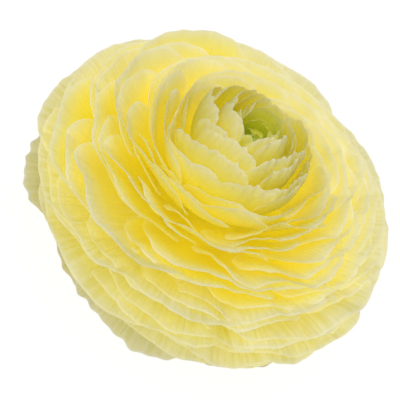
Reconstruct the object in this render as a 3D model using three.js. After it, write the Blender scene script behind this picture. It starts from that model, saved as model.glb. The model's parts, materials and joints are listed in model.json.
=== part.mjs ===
// Ranunculus flower head, picked just under its calyx and resting on its guard petals and its cut stub of stem.
// Millimetres, +Z up. The origin is on the resting surface, under the middle of the flower's bounding box.
import * as THREE from "three";

// Receptacle: the round top of the stem, on which every petal is seated.
const RECEPTACLE_CENTRE_Z = 13;
const RECEPTACLE_RADIUS = 7;
const RECEPTACLE_RINGS = 10;
const SEAT_GAP = 0.3;
const SEAT_RADIUS = RECEPTACLE_RADIUS + SEAT_GAP;

// Stem: a short hollow stub, cut level, with a collar where the calyx sits.
const STEM_RADIUS = 3.2;
const STEM_BORE_RADIUS = 1.4;
const STEM_BORE_DEPTH = 4;
const STEM_NECK_Z = 4.2;
const COLLAR_RADIUS = 4.2;
const COLLAR_BOTTOM_Z = 5.2;
const COLLAR_TOP_Z = 7.2;

// Petals climb the receptacle in one spiral, from the eye outwards and down, each a divergence on from the last.
const DIVERGENCE_DEG = 275.016;

// The bud leans off the stem's axis in this direction, and the petals around it follow it less and less.
const LEAN_TOWARDS_DEG = 90;

// Each family's values run evenly from its first petal to its last. A petal leaves its seat, at that polar angle on
// the receptacle, in the base direction, and bends evenly to the tip direction over its length. Directions are
// degrees above the horizontal, measured outwards. The blade spreads to either side of its midline by spreadDeg.
const BUD = {
  name: "bud_petal",
  petals: 15,
  seatPolarDeg: [14, 20, 28, 36, 43],
  baseDeg: [66, 52, 37, 22, 8],
  tipDeg: [105, 112, 114, 112, 108],
  length: [18.8, 25, 25.6, 24.6, 24],
  spreadDeg: [41, 41, 42, 41, 40],
  leanDeg: [9, 9, 9, 9, 8.5],
  colours: [0xa9bf3c, 0xdcd868, 0xeee68c, 0xf0e68c],
};
const OPEN = {
  name: "petal",
  petals: 30,
  seatPolarDeg: [51, 62, 74, 86, 98, 109],
  baseDeg: [15, 12, 8, 4, 0, -3],
  tipDeg: [85, 64, 49.6, 35.6, 21.4, 7],
  length: [24.7, 29.7, 35, 39, 40.8, 40.6],
  spreadDeg: [34, 31, 29, 28, 28, 28],
  leanDeg: [6, 3.5, 1.5, 0.5, 0, 0],
  colours: [0xf0e070, 0xf0e37c, 0xf0e588, 0xf0e794, 0xefe8a4, 0xe9e6bd],
};
const GUARD = {
  name: "guard_petal",
  petals: 8,
  seatPolarDeg: [113, 121, 129, 138],
  baseDeg: [-5, -7, -9, -10],
  tipDeg: [-6, -18, -17.6, -16.4],
  length: [39.4, 38.3, 35.3, 32],
  spreadDeg: [28, 28, 28, 28],
  leanDeg: [0, 0, 0, 0],
  colours: [0xe9e6bd, 0xe3e1bc],
};
const FAMILIES = [BUD, OPEN, GUARD];

// Petal: a plate of even thickness with a narrow claw and a broad, rounded blade whose edges cup inwards. cup is the
// share of its family's way that an edge comes in at the tip.
const PETAL = { thickness: 0.5, clawHalfWidth: 1.2, tipRounding: 0.2, roundingPower: 3, cup: 0.025 };

// Calyx: five sepals under the collar, bent back below the guard petals.
const SEPALS = 5;
const SEPAL = { thickness: 0.7, clawHalfWidth: 1.7, tipRounding: 0.75, roundingPower: 1.5 };
const SEPAL_SEAT = { r: COLLAR_RADIUS + SEAT_GAP + 0.2, z: 6.1 };
const SEPAL_BASE_DEG = -34;
const SEPAL_TIP_DEG = -6;
const SEPAL_LENGTH = 12;
const SEPAL_SPREAD_DEG = 24;

// Carpel head: the cone of carpels in the eye, as (radius, height) up from its seat on the receptacle.
const CARPEL_SEAT_Z = RECEPTACLE_CENTRE_Z + RECEPTACLE_RADIUS + SEAT_GAP;
const CARPEL_OUTLINE = [
  [1.1, 0],
  [1.4, 2.2],
  [2.2, 6.6],
  [2.6, 10.6],
  [2.2, 13.6],
  [1.1, 15.4],
];

// Colours of the green parts.
const STEM_COLOUR = 0x9db45c;
const SEPAL_COLOUR = 0x8fa35a;
const CARPEL_COLOUR = 0x6f8a2c;

// Facets.
const GRID_ACROSS = 6;
const GRID_ALONG = 6;
const BEND_STEPS = 24;
const STEM_SEGMENTS = 24;
const CARPEL_SEGMENTS = 12;

// Share of a blade's length over which it opens from its claw to its full spread.
const BLADE_OPENS_OVER = 0.6;

// Step to either side of a point, as a share of its blade, that its slope is taken over.
const SLOPE_STEP = 1e-3;

const radians = THREE.MathUtils.degToRad;

/** Smooth value at a share of the way through evenly spaced values. */
function valueAt(values, share) {
  const curve = new THREE.SplineCurve(values.map((value, i) => new THREE.Vector2(i, value)));
  return curve.getPoint(THREE.MathUtils.clamp(share, 0, 1)).y;
}

/** Colour at a share of the way through evenly spaced colours. */
function colourAt(colours, share) {
  const at = share * (colours.length - 1);
  const from = Math.min(Math.floor(at), colours.length - 2);
  return new THREE.Color(colours[from]).lerp(new THREE.Color(colours[from + 1]), at - from);
}

/** Point (radius, height) reached after a share of a line that bends evenly from baseDeg to tipDeg. */
function alongBend(start, baseDeg, tipDeg, length, share) {
  let { r, z } = start;
  const step = (length * share) / BEND_STEPS;
  for (let i = 0; i < BEND_STEPS; i++) {
    const direction = radians(baseDeg + ((tipDeg - baseDeg) * share * (i + 0.5)) / BEND_STEPS);
    r += step * Math.cos(direction);
    z += step * Math.sin(direction);
  }
  return { r, z };
}

/** Point (radius, height) of a family's shell at a place in it, a share of the way from the seat to the tip. */
function shellPoint(family, place, share) {
  const polar = radians(valueAt(family.seatPolarDeg, place));
  const seat = {
    r: SEAT_RADIUS * Math.sin(polar),
    z: RECEPTACLE_CENTRE_Z + SEAT_RADIUS * Math.cos(polar),
  };
  return alongBend(
    seat,
    valueAt(family.baseDeg, place),
    valueAt(family.tipDeg, place),
    valueAt(family.length, place),
    share,
  );
}

/** Point of a blade about the X axis, for across in -1..1 and along in 0..1. */
function bladePoint(profile, shape, spreadDeg, across, along) {
  const share = along * (1 - shape.tipRounding * Math.abs(across) ** shape.roundingPower);
  const { r, z } = profile(across, share);
  const claw = shape.clawHalfWidth / r;
  const opening = THREE.MathUtils.smoothstep(share, 0, BLADE_OPENS_OVER);
  const angle = across * THREE.MathUtils.lerp(claw, radians(spreadDeg), opening);
  return new THREE.Vector3(r * Math.cos(angle), r * Math.sin(angle), z);
}

/** Pairs of grid points around the rim of a sheet, in the order that its faces turn. */
function rimEdges(columns, rows) {
  const rim = [];
  for (let column = 0; column < columns - 1; column++) rim.push(column);
  for (let row = 0; row < rows - 1; row++) rim.push(row * columns + columns - 1);
  for (let column = columns - 1; column > 0; column--) rim.push((rows - 1) * columns + column);
  for (let row = rows - 1; row > 0; row--) rim.push(row * columns);
  return rim.map((point, i) => [point, rim[(i + 1) % rim.length]]);
}

/** Closed plate of even thickness about a surface given over across in -1..1 and along in 0..1. */
function plateGeometry(pointAt, thickness) {
  const columns = GRID_ACROSS + 1;
  const rows = GRID_ALONG + 1;
  const positions = [];
  for (const side of [0.5, -0.5]) {
    for (let row = 0; row < rows; row++) {
      for (let column = 0; column < columns; column++) {
        const across = (2 * column) / GRID_ACROSS - 1;
        const along = row / GRID_ALONG;
        const point = pointAt(across, along);
        const acrossStep = pointAt(across + SLOPE_STEP, along).sub(pointAt(across - SLOPE_STEP, along));
        const alongStep = pointAt(across, along + SLOPE_STEP).sub(pointAt(across, along - SLOPE_STEP));
        const normal = acrossStep.cross(alongStep).normalize();
        positions.push(...point.addScaledVector(normal, side * thickness));
      }
    }
  }
  const sheet = columns * rows;
  const faces = [];
  for (let row = 0; row < GRID_ALONG; row++) {
    for (let column = 0; column < GRID_ACROSS; column++) {
      const a = row * columns + column;
      const b = a + 1;
      const c = a + columns;
      const d = c + 1;
      faces.push(a, b, d, a, d, c);
      faces.push(sheet + a, sheet + d, sheet + b, sheet + a, sheet + c, sheet + d);
    }
  }
  for (const [a, b] of rimEdges(columns, rows)) {
    faces.push(a, sheet + b, b, a, sheet + a, sheet + b);
  }
  const geometry = new THREE.BufferGeometry();
  geometry.setAttribute("position", new THREE.Float32BufferAttribute(positions, 3));
  geometry.setIndex(faces);
  geometry.computeVertexNormals();
  return geometry;
}

/** Solid of revolution about the Z axis, from an outline of (radius, height) points. */
function turnedGeometry(outline, segments) {
  const points = outline.map(([r, z]) => new THREE.Vector2(r, z));
  return new THREE.LatheGeometry(points, segments).rotateX(Math.PI / 2);
}

/** Named mesh of plant tissue in one colour. */
function makePiece(name, geometry, colour) {
  const tissue = new THREE.MeshStandardMaterial({ color: colour, roughness: 0.6, metalness: 0 });
  const piece = new THREE.Mesh(geometry, tissue);
  piece.name = name;
  return piece;
}

/** Group that leans a piece about the receptacle's centre. */
function lean(piece, degrees) {
  const leaning = new THREE.Group();
  const towards = radians(LEAN_TOWARDS_DEG);
  const axis = new THREE.Vector3(-Math.sin(towards), Math.cos(towards), 0);
  leaning.position.z = RECEPTACLE_CENTRE_Z;
  leaning.quaternion.setFromAxisAngle(axis, radians(degrees));
  piece.position.z -= RECEPTACLE_CENTRE_Z;
  leaning.add(piece);
  return leaning;
}

/** Petal plate at a place in its family, about the X axis. */
function petalGeometry(family, place) {
  const profile = (across, share) => shellPoint(family, place - PETAL.cup * across ** 2 * share, share);
  const spreadDeg = valueAt(family.spreadDeg, place);
  return plateGeometry(
    (across, along) => bladePoint(profile, PETAL, spreadDeg, across, along),
    PETAL.thickness,
  );
}

/** All petals, on one spiral from the eye outwards. */
function makeCorolla() {
  const corolla = new THREE.Group();
  let turns = 0;
  for (const family of FAMILIES) {
    for (let i = 0; i < family.petals; i++) {
      const place = i / (family.petals - 1);
      const name = `${family.name}_${String(i + 1).padStart(2, "0")}`;
      const petal = makePiece(name, petalGeometry(family, place), colourAt(family.colours, place));
      petal.rotation.z = radians(DIVERGENCE_DEG * turns);
      corolla.add(lean(petal, valueAt(family.leanDeg, place)));
      turns += 1;
    }
  }
  return corolla;
}

/** Five sepals bent back below the petals. */
function makeCalyx() {
  const calyx = new THREE.Group();
  const profile = (across, share) =>
    alongBend(SEPAL_SEAT, SEPAL_BASE_DEG, SEPAL_TIP_DEG, SEPAL_LENGTH, share);
  const geometry = plateGeometry(
    (across, along) => bladePoint(profile, SEPAL, SEPAL_SPREAD_DEG, across, along),
    SEPAL.thickness,
  );
  for (let i = 0; i < SEPALS; i++) {
    const sepal = makePiece(`sepal_${i + 1}`, geometry, SEPAL_COLOUR);
    sepal.rotation.z = (2 * Math.PI * i) / SEPALS;
    calyx.add(sepal);
  }
  return calyx;
}

/** Stub of stem and the round receptacle on it, in one piece. */
function makeStem() {
  const outline = [
    [0, STEM_BORE_DEPTH],
    [STEM_BORE_RADIUS, STEM_BORE_DEPTH],
    [STEM_BORE_RADIUS, 0],
    [STEM_RADIUS, 0],
    [STEM_RADIUS, STEM_NECK_Z],
    [COLLAR_RADIUS, COLLAR_BOTTOM_Z],
    [COLLAR_RADIUS, COLLAR_TOP_Z],
  ];
  const firstPolar = Math.PI - Math.asin(COLLAR_RADIUS / RECEPTACLE_RADIUS);
  for (let i = 1; i < RECEPTACLE_RINGS; i++) {
    const polar = firstPolar * (1 - i / RECEPTACLE_RINGS);
    outline.push([
      RECEPTACLE_RADIUS * Math.sin(polar),
      RECEPTACLE_CENTRE_Z + RECEPTACLE_RADIUS * Math.cos(polar),
    ]);
  }
  outline.push([0, RECEPTACLE_CENTRE_Z + RECEPTACLE_RADIUS]);
  return makePiece("stem_and_receptacle", turnedGeometry(outline, STEM_SEGMENTS), STEM_COLOUR);
}

/** Carpel head in the eye, leaning with the bud. */
function makeCarpelHead() {
  const [tipRadius, tipZ] = CARPEL_OUTLINE.at(-1);
  const outline = [[0, 0], ...CARPEL_OUTLINE, [0, tipZ + tipRadius / 2]];
  const head = makePiece("carpel_head", turnedGeometry(outline, CARPEL_SEGMENTS), CARPEL_COLOUR);
  head.position.z = CARPEL_SEAT_Z;
  return lean(head, BUD.leanDeg[0]);
}

const flower = new THREE.Group();
flower.add(makeStem(), makeCalyx(), makeCorolla(), makeCarpelHead());

// Move the flower sideways until its bounding box is centred over the origin.
const middle = new THREE.Box3().setFromObject(flower, true).getCenter(new THREE.Vector3());
flower.position.set(-middle.x, -middle.y, 0);

export default flower;
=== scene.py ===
"""Ranunculus flower head: the visual model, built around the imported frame.

Every petal lies on one spiral of nested shells, from the eye of the flower out to its guard petals.
The solid model holds every second petal of the bud's stretch of that spiral and every third petal
after it. A piece named petals_07 stands for the node petal_07 and brings the thinner petals that
follow it in the spiral.
"""

import json
import logging
import math
from collections.abc import Callable, Sequence
from dataclasses import dataclass, field
from enum import Enum

import bpy
import numpy as np
from mathutils import Matrix, Vector


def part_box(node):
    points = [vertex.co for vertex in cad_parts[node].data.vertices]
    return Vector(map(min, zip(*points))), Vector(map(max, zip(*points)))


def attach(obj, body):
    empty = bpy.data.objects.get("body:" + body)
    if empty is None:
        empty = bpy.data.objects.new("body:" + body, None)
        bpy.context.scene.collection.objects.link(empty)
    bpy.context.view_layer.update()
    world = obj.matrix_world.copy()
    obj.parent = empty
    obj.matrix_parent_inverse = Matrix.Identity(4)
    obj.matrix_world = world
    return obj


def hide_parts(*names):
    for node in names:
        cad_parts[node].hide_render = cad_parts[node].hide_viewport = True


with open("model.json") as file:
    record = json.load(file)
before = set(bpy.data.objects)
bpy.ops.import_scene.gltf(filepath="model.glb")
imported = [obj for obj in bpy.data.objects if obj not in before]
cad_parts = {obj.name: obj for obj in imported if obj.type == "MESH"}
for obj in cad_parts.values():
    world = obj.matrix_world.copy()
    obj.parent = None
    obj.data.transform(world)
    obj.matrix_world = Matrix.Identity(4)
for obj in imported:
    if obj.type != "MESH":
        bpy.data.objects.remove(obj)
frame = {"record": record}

LOG = logging.getLogger("ranunculus")
BODY = "root"

Array = np.ndarray
Range = tuple[float, float]
Colour = tuple[float, float, float, float]
Socket = bpy.types.NodeSocket

# Piece name, node name, slot and mesh.
Piece = tuple[str, str, str, bpy.types.Mesh]

# Millimetres in this file, metres in Blender.
MM = 0.001

# Receptacle that carries the petals, and the shell of petal seats around it.
RECEPTACLE_CENTRE_Z = 13.0
RECEPTACLE_RADIUS = 7.0
SEAT_RADIUS = 7.3

# Degrees round the stem from one solid petal to the next, and from a solid petal to each petal
# that follows it, by the number of petals that the node stands for.
NODE_STEP_DEG = 275.016
PETAL_STEP_DEG = {2: 22.0, 3: 211.672}

# Directions round the stem: where the bud leans, where the rims are most ruffled, and where they
# rise the way that the spiral turns.
LEAN_TOWARDS_DEG = 90.0
RUFFLED_TOWARDS_DEG = -35.0
SLANTED_TOWARDS_DEG = -70.0

# Swellings that neighbouring petals share: waves round the stem, turns per wave, phase, height.
SWELLS = ((2, 14.0, 0.4, 0.5), (3, -11.0, 2.1, 0.45), (5, 17.0, 4.0, 0.35))

# Measures of a shell that change along the spiral.
MEASURES = ("seat_polar", "base", "tip", "length", "spread", "lean")

# Rows of a blade by their distance from its rim, even rows below them, and columns between the
# strips along its sides. Lengths in millimetres.
RIM_ROWS = (0.0, 0.5, 0.9, 1.35, 1.85, 2.4, 3.1, 4.0, 5.1, 6.4)
ROWS_BELOW = 15
COLUMNS = 96
SIDE_STRIP = 0.5


def smooth(values: Array, low: float, high: float) -> Array:
    """Smooth rise from 0 at low to 1 at high.

    Args:
        values: numbers to map.
        low: where the rise starts.
        high: where it ends.

    Returns:
        An array of shares, of the same shape.
    """
    share = np.clip((values - low) / (high - low), 0.0, 1.0)
    return share * share * (3.0 - 2.0 * share)


def spline(values: Sequence[float], share: Array) -> Array:
    """Catmull-Rom curve through evenly spaced values, its end points repeated.

    Args:
        values: the curve's values.
        share: places on it, from 0 to 1.

    Returns:
        The curve's value at each place.
    """
    points = np.asarray(values, float)
    last = len(points) - 1
    place = np.clip(share, 0.0, 1.0) * last
    start = np.minimum(place.astype(int), last - 1)
    t = place - start
    before, here = points[np.maximum(start - 1, 0)], points[start]
    there, after = points[start + 1], points[np.minimum(start + 2, last)]
    leave, arrive = (there - before) / 2, (after - here) / 2
    cubic = (2 * here - 2 * there + leave + arrive) * t**3
    square = (-3 * here + 3 * there - 2 * leave - arrive) * t**2
    return cubic + square + leave * t + here


def wander(rng: np.random.Generator, at: Array, lengths: Sequence[float]) -> Array:
    """Smooth irregular wave along a line.

    Args:
        rng: source of the phases and heights.
        at: places along the line, in millimetres.
        lengths: wavelengths that it is made of, in millimetres.

    Returns:
        Heights of about -1 to 1.
    """
    total = np.zeros_like(at)
    for length in lengths:
        height = rng.uniform(0.6, 1.0)
        total += height * np.sin(2 * math.pi * at / length + rng.uniform(0, 2 * math.pi))
    return total / math.sqrt(len(lengths))


def srgb(code: int) -> Colour:
    """Linear colour of a six-digit screen colour.

    Args:
        code: the colour, two hexadecimal digits for each of red, green and blue.

    Returns:
        Red, green, blue and an alpha of 1.
    """
    parts = [((code >> shift) & 255) / 255 for shift in (16, 8, 0)]
    linear = [p / 12.92 if p <= 0.04045 else ((p + 0.055) / 1.055) ** 2.4 for p in parts]
    return (*linear, 1.0)


@dataclass(frozen=True)
class ShellFamily:
    """Nested surfaces that one kind of petal lies on, in millimetres and degrees."""

    nodes: int
    seat_polar: tuple[float, ...]
    base: tuple[float, ...]
    tip: tuple[float, ...]
    length: tuple[float, ...]
    spread: tuple[float, ...]
    lean: tuple[float, ...]


BUD_SHELLS = ShellFamily(
    nodes=15,
    seat_polar=(14, 20, 28, 36, 43),
    base=(66, 52, 37, 22, 8),
    tip=(105, 112, 114, 112, 108),
    length=(18.8, 25, 25.6, 24.6, 24),
    spread=(41, 41, 42, 41, 40),
    lean=(9, 9, 9, 9, 8.5),
)
OPEN_SHELLS = ShellFamily(
    nodes=30,
    seat_polar=(51, 62, 74, 86, 98, 109),
    base=(15, 12, 8, 4, 0, -3),
    tip=(85, 64, 49.6, 35.6, 21.4, 7),
    length=(24.7, 29.7, 35, 39, 40.8, 40.6),
    spread=(34, 31, 29, 28, 28, 28),
    lean=(6, 3.5, 1.5, 0.5, 0, 0),
)
GUARD_SHELLS = ShellFamily(
    nodes=8,
    seat_polar=(113, 121, 129, 138),
    base=(-5, -7, -9, -10),
    tip=(-6, -18, -17.6, -16.4),
    length=(39.4, 38.3, 35.3, 32),
    spread=(28, 28, 28, 28),
    lean=(0, 0, 0, 0),
)


@dataclass
class Shells:
    """All the shells, read at a turn: the number of solid petals from the eye outwards."""

    families: tuple[ShellFamily, ...] = (BUD_SHELLS, OPEN_SHELLS, GUARD_SHELLS)
    turns: Array = field(init=False)
    tables: dict[str, Array] = field(init=False)

    def __post_init__(self) -> None:
        """Lists every measure at close steps of the spiral."""
        steps_per_turn = 20
        first = 0
        turns, tables = [], {name: [] for name in MEASURES}
        for family in self.families:
            share = np.linspace(0, 1, steps_per_turn * (family.nodes - 1) + 1)
            turns.append(first + share * (family.nodes - 1))
            for name in MEASURES:
                tables[name].append(spline(getattr(family, name), share))
            first += family.nodes
        self.turns = np.concatenate(turns)
        self.tables = {name: np.concatenate(parts) for name, parts in tables.items()}

    def read(self, measure: str, turn: Array | float) -> Array:
        """A measure's value at a turn."""
        return np.interp(turn, self.turns, self.tables[measure])

    def point(self, turn: Array, share: Array) -> tuple[Array, ...]:
        """Place on a shell.

        Args:
            turn: which shell.
            share: how far from the seat, in lengths of its petal.

        Returns:
            Radius, height and slope there.
        """
        polar = np.radians(self.read("seat_polar", turn))
        base = np.radians(self.read("base", turn))
        bend = (np.radians(self.read("tip", turn)) - base) * share
        chord = self.read("length", turn) * share * np.sinc(bend / 2 / math.pi)
        radius = SEAT_RADIUS * np.sin(polar) + chord * np.cos(base + bend / 2)
        height = RECEPTACLE_CENTRE_Z + SEAT_RADIUS * np.cos(polar) + chord * np.sin(base + bend / 2)
        return radius, height, base + bend


@dataclass(frozen=True)
class BladeForm:
    """How the blades of one kind of petal depart from their shells. Lengths in millimetres."""

    per_node: int = 3
    thickness: float = 0.22
    claw_half_width: float = 1.2
    left_rounding: float = 0.1
    left_power: float = 2.0
    right_rounding: float = 0.05
    right_power: float = 3.0
    corner: float = 0.2
    slant: float = 0.13
    flare: float = 0.3
    cup_turns: float = 0.7
    twist_turns: float = 1.1
    ruffle: float = 1.1
    ruffle_lengths: tuple[float, ...] = (11.0, 17.0, 26.0)
    crinkle: float = 0.2
    crinkle_lengths: tuple[float, ...] = (3.1, 4.7, 6.9)
    ribs: float = 0.04
    notch: float = 0.3
    lip: float = 0.85
    lip_width: float = 5.2
    side_lip: float = 0.3
    spread_scale: float = 1.34
    spread_jitter: float = 0.08
    length_jitter: float = 0.03
    azimuth_jitter: float = 4.0


class PetalKind(Enum):
    """Kinds of petal from the eye outwards: node name, piece name, first turn and nodes."""

    BUD = ("bud_petal", "bud_petals", 0, 15)
    OPEN = ("petal", "petals", 15, 30)
    GUARD = ("guard_petal", "guard_petals", 45, 8)

    def __init__(self, node: str, piece: str, first: int, nodes: int) -> None:
        """Keeps the names and the range of turns."""
        self.node = node
        self.piece = piece
        self.first = first
        self.nodes = nodes


FORMS: dict[PetalKind, BladeForm] = {
    PetalKind.BUD: BladeForm(
        per_node=2, left_rounding=0.14, left_power=5.0, right_rounding=0.2, right_power=4.0,
        corner=0.0, slant=0.0, flare=0.0, cup_turns=0.3, twist_turns=1.5, ruffle=0.75,
        ruffle_lengths=(9.0, 14.0, 21.0), crinkle_lengths=(2.1, 3.1, 4.7), ribs=0.05, notch=0.75,
        lip=0.05, lip_width=2.4, side_lip=0.25, spread_scale=1.0, spread_jitter=0.13,
        length_jitter=0.045, azimuth_jitter=9.0,
    ),
    PetalKind.OPEN: BladeForm(),
    PetalKind.GUARD: BladeForm(
        left_rounding=0.2, left_power=3.0, right_rounding=0.14, corner=0.05, flare=0.1,
        twist_turns=0.6, ruffle=1.0, crinkle=0.22, notch=0.9, lip=0.5, spread_scale=1.25,
        length_jitter=0.05,
    ),
}


@dataclass(frozen=True)
class Trend:
    """Factor that changes evenly with a share of 0 to 1."""

    start: float
    gain: float

    def at(self, share: float) -> float:
        """The factor at a share."""
        return self.start + self.gain * share


@dataclass(frozen=True)
class Habit:
    """What all kinds of petal share. Lengths in millimetres, ranges of shares or of turns."""

    half_width: float = 0.46
    eye_turns: Range = (0.5, 4.5)

    # Outline of the rim.
    varies_little: Range = (0.75, 1.25)
    varies_much: Range = (0.6, 1.4)
    corner_power: int = 7
    slant_pull: float = 1.5
    slant_whim: float = 0.5
    slant_sink: float = 0.25
    scallops: float = 1.2
    scallop_lengths: Range = (9.0, 14.0)
    uneven: Trend = Trend(1.25, -0.9)
    eye_shorter: Trend = Trend(0.04, 0.07)

    # Ruffles, crinkles and ribs, over the share of ruffling or of the eye.
    rim: Range = (0.5, 1.0)
    very_rim: Range = (0.8, 1.0)
    rib_lengths: Range = (1.9, 2.7)
    ruffles: Trend = Trend(0.4, 0.7)
    crinkles: Trend = Trend(0.5, 0.6)
    ribs: Trend = Trend(0.3, 0.8)
    eye_ribs: Trend = Trend(1.0, -0.7)
    eye_ruffles: Trend = Trend(1.0, -0.55)

    # Lip that rolls out at the rim and the sides.
    lip_lengths: Range = (11.0, 17.0)
    lip_swing: Trend = Trend(0.8, 0.7)
    lip_limits: Range = (-0.2, 2.0)
    lips: Trend = Trend(0.55, 0.6)
    side_lip_across: Range = (0.75, 1.0)
    side_lip_along: Range = (0.3, 0.9)

    # Place and width on the shell.
    swells_over: Range = (0.3, 1.0)
    eye_opening: float = 1.3
    eye_opens_over: Range = (0.4, 1.0)
    lowest: float = 0.9
    lifts_over: Range = (0.3, 0.7)
    opens_over: Range = (0.0, 0.6)
    left_flare: float = 0.6
    flares_over: Range = (0.45, 1.0)
    flare_power: float = 1.5

    # Reach of the pale tone below the rim, the white edge, and ageing, with their painted shade,
    # highlight and light.
    tone_reach: float = 13.0
    # Shorter reach on the bud's far side, so the deep yellow rises close under each rim: painted
    # shade between the petals.
    far_painted_shade: float = 0.5
    bud_ends: Range = (11.0, 18.0)
    # Shorter reach on the outer petals: painted shade under each rim.
    outer_painted_shade: float = 4.5
    outer_turns: Range = (22.0, 36.0)
    # The white edge is partly the paler margin and partly a painted highlight where the thin rim
    # catches the light.
    edge_width: float = 0.75
    age_varies: Range = (-6.0, 5.0)
    age_ruffled: float = 5.0
    # Petals on the far side, at the top of the picture where the light falls from, are made paler:
    # painted light.
    far_painted_light: float = 10.0
    ages_over: Range = (31.0, 44.0)
    guard_keeps: float = 0.5
    guard_turns: Range = (43.0, 46.0)


HABIT = Habit()


@dataclass
class Tissue:
    """Points, faces and point values of thin plant tissue, gathered blade by blade."""

    points: list[Array] = field(default_factory=list)
    faces: list[Array] = field(default_factory=list)
    triangles: list[Array] = field(default_factory=list)
    values: dict[str, list[Array]] = field(default_factory=dict)
    rims: list[Array] = field(default_factory=list)
    count: int = 0

    def add_blade(self, sheet: Array, thickness: float, values: dict[str, Array]) -> None:
        """Adds a sheet of points as a closed blade that thins to nothing at its rim.

        Args:
            sheet: rows from the claw to the tip, columns across, three coordinates.
            thickness: the blade's thickness away from its rim.
            values: numbers or vectors at each point of the sheet.
        """
        rows, columns = sheet.shape[:2]
        across = np.gradient(sheet, axis=1)
        along = np.gradient(sheet, axis=0)
        outward = np.cross(across, along)
        outward /= np.maximum(np.linalg.norm(outward, axis=2, keepdims=True), 1e-9)
        inner = np.zeros((rows, columns), bool)
        inner[1:-1, 1:-1] = True
        half = np.where(inner, thickness / 2, 0.0)
        front = (sheet + outward * half[..., None]).reshape(-1, 3)
        back = (sheet - outward * half[..., None]).reshape(-1, 3)[inner.ravel()]
        index = np.arange(rows * columns).reshape(rows, columns)
        under = index.copy()
        under[inner] = rows * columns + np.arange(inner.sum())
        for grid, turned in ((index, False), (under, True)):
            corners = [grid[:-1, :-1], grid[:-1, 1:], grid[1:, 1:], grid[1:, :-1]]
            if turned:
                corners.reverse()
            self.faces.append(np.stack([c.ravel() for c in corners], axis=1) + self.count)
        self.points.append(np.concatenate([front, back]))
        everywhere = dict(values, outward=outward)
        for name, value in everywhere.items():
            flat = value.reshape(rows * columns, -1)
            whole = np.concatenate([flat, flat[inner.ravel()]])
            self.values.setdefault(name, []).append(whole)
        self.rims.append(np.concatenate([~inner.ravel(), np.zeros(inner.sum(), bool)]))
        self.count += rows * columns + int(inner.sum())

    def add_turned(self, outline: Array, relief: Array, tone: Array,
                   bare: Array, sharp: Array) -> None:
        """Adds a closed body turned about the stem's axis.

        Args:
            outline: radius and height from the lower pole round to the upper one.
            relief: how far the surface stands out at each outline point and column.
            tone: value of the tone at each outline point.
            bare: 1 at outline points where nothing grows, 0 elsewhere.
            sharp: which outline points are sharp edges.
        """
        columns = relief.shape[1]
        angle = np.arange(columns) * 2 * math.pi / columns
        radius = outline[1:-1, :1] + relief[1:-1]
        height = np.broadcast_to(outline[1:-1, 1:], radius.shape)
        rings = np.stack([radius * np.cos(angle), radius * np.sin(angle), height], axis=2)
        poles = np.array([[0, 0, outline[0, 1]], [0, 0, outline[-1, 1]]])
        index = np.arange(radius.size).reshape(radius.shape) + self.count
        index = np.concatenate([index, index[:, :1]], axis=1)
        corners = [index[:-1, :-1], index[:-1, 1:], index[1:, 1:], index[1:, :-1]]
        self.faces.append(np.stack([c.ravel() for c in corners], axis=1))
        low = np.full(columns, self.count + radius.size)
        self.triangles.append(np.stack([low, index[0, 1:], index[0, :-1]], axis=1))
        self.triangles.append(np.stack([index[-1, :-1], index[-1, 1:], low + 1], axis=1))
        self.points.append(np.concatenate([rings.reshape(-1, 3), poles]))
        order = np.concatenate([np.repeat(np.arange(1, len(outline) - 1), columns),
                                [0, len(outline) - 1]])
        turn = np.concatenate([np.tile(angle, len(radius)), [0, 0]]) / (2 * math.pi)
        out = np.stack([np.cos(turn * 2 * math.pi), np.sin(turn * 2 * math.pi), 0 * turn], axis=1)
        whole = {
            "uv": np.stack([turn, order / len(outline)], axis=1), "tone": tone[order][:, None],
            "edge": 0 * turn[:, None], "rim": bare[order][:, None], "outward": out,
        }
        for name, value in whole.items():
            self.values.setdefault(name, []).append(value)
        self.rims.append(sharp[order])
        self.count += radius.size + 2

    def mesh(self, name: str) -> bpy.types.Mesh:
        """Blender mesh of everything gathered, in metres.

        Args:
            name: the mesh's name.

        Returns:
            A smooth-shaded mesh, sharp along its rims, with a UV map named petal and the values
            as attributes.
        """
        mesh = bpy.data.meshes.new(name)
        faces = np.concatenate(self.faces)
        triangles = np.concatenate([np.empty((0, 3), int), *self.triangles])
        loops = np.concatenate([faces.ravel(), triangles.ravel()])
        mesh.from_pydata((np.concatenate(self.points) * MM).tolist(), [],
                         faces.tolist() + triangles.tolist())
        for key, parts in self.values.items():
            data = np.concatenate(parts).astype(np.float32)
            if key == "uv":
                layer = mesh.uv_layers.new(name="petal")
                layer.data.foreach_set("uv", data[loops].ravel())
            elif data.shape[1] == 3:
                store = mesh.attributes.new(key, "FLOAT_VECTOR", "POINT")
                store.data.foreach_set("vector", data.ravel())
            else:
                store = mesh.attributes.new(key, "FLOAT", "POINT")
                store.data.foreach_set("value", data.ravel())
        mesh.polygons.foreach_set("use_smooth", np.ones(len(mesh.polygons), bool))
        mesh.update()
        ends = np.empty(len(mesh.edges) * 2, int)
        mesh.edges.foreach_get("vertices", ends)
        on_rim = np.concatenate(self.rims)[ends].reshape(-1, 2).all(axis=1)
        mesh.edges.foreach_set("use_edge_sharp", on_rim)
        return mesh


def about_receptacle(sheet: Array, stem: Vector, lean: float = 0.0) -> Array:
    """Leans a sheet about the receptacle and moves it onto the stem's axis.

    Args:
        sheet: points in millimetres, with the stem's axis at the origin.
        stem: place of the stem's axis, in millimetres.
        lean: degrees of lean.

    Returns:
        The moved points.
    """
    towards = math.radians(LEAN_TOWARDS_DEG)
    axis = Vector((-math.sin(towards), math.cos(towards), 0))
    turn = np.array(Matrix.Rotation(math.radians(lean), 3, axis))
    centre = np.array([0.0, 0.0, RECEPTACLE_CENTRE_Z])
    return (sheet - centre) @ turn.T + centre + np.array([stem.x, stem.y, 0.0])


def about_stem(radius: Array, angle: Array, height: Array) -> Array:
    """Points from their distance and direction from the stem's axis and their height."""
    return np.stack([radius * np.cos(angle), radius * np.sin(angle), height], axis=2)


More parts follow.
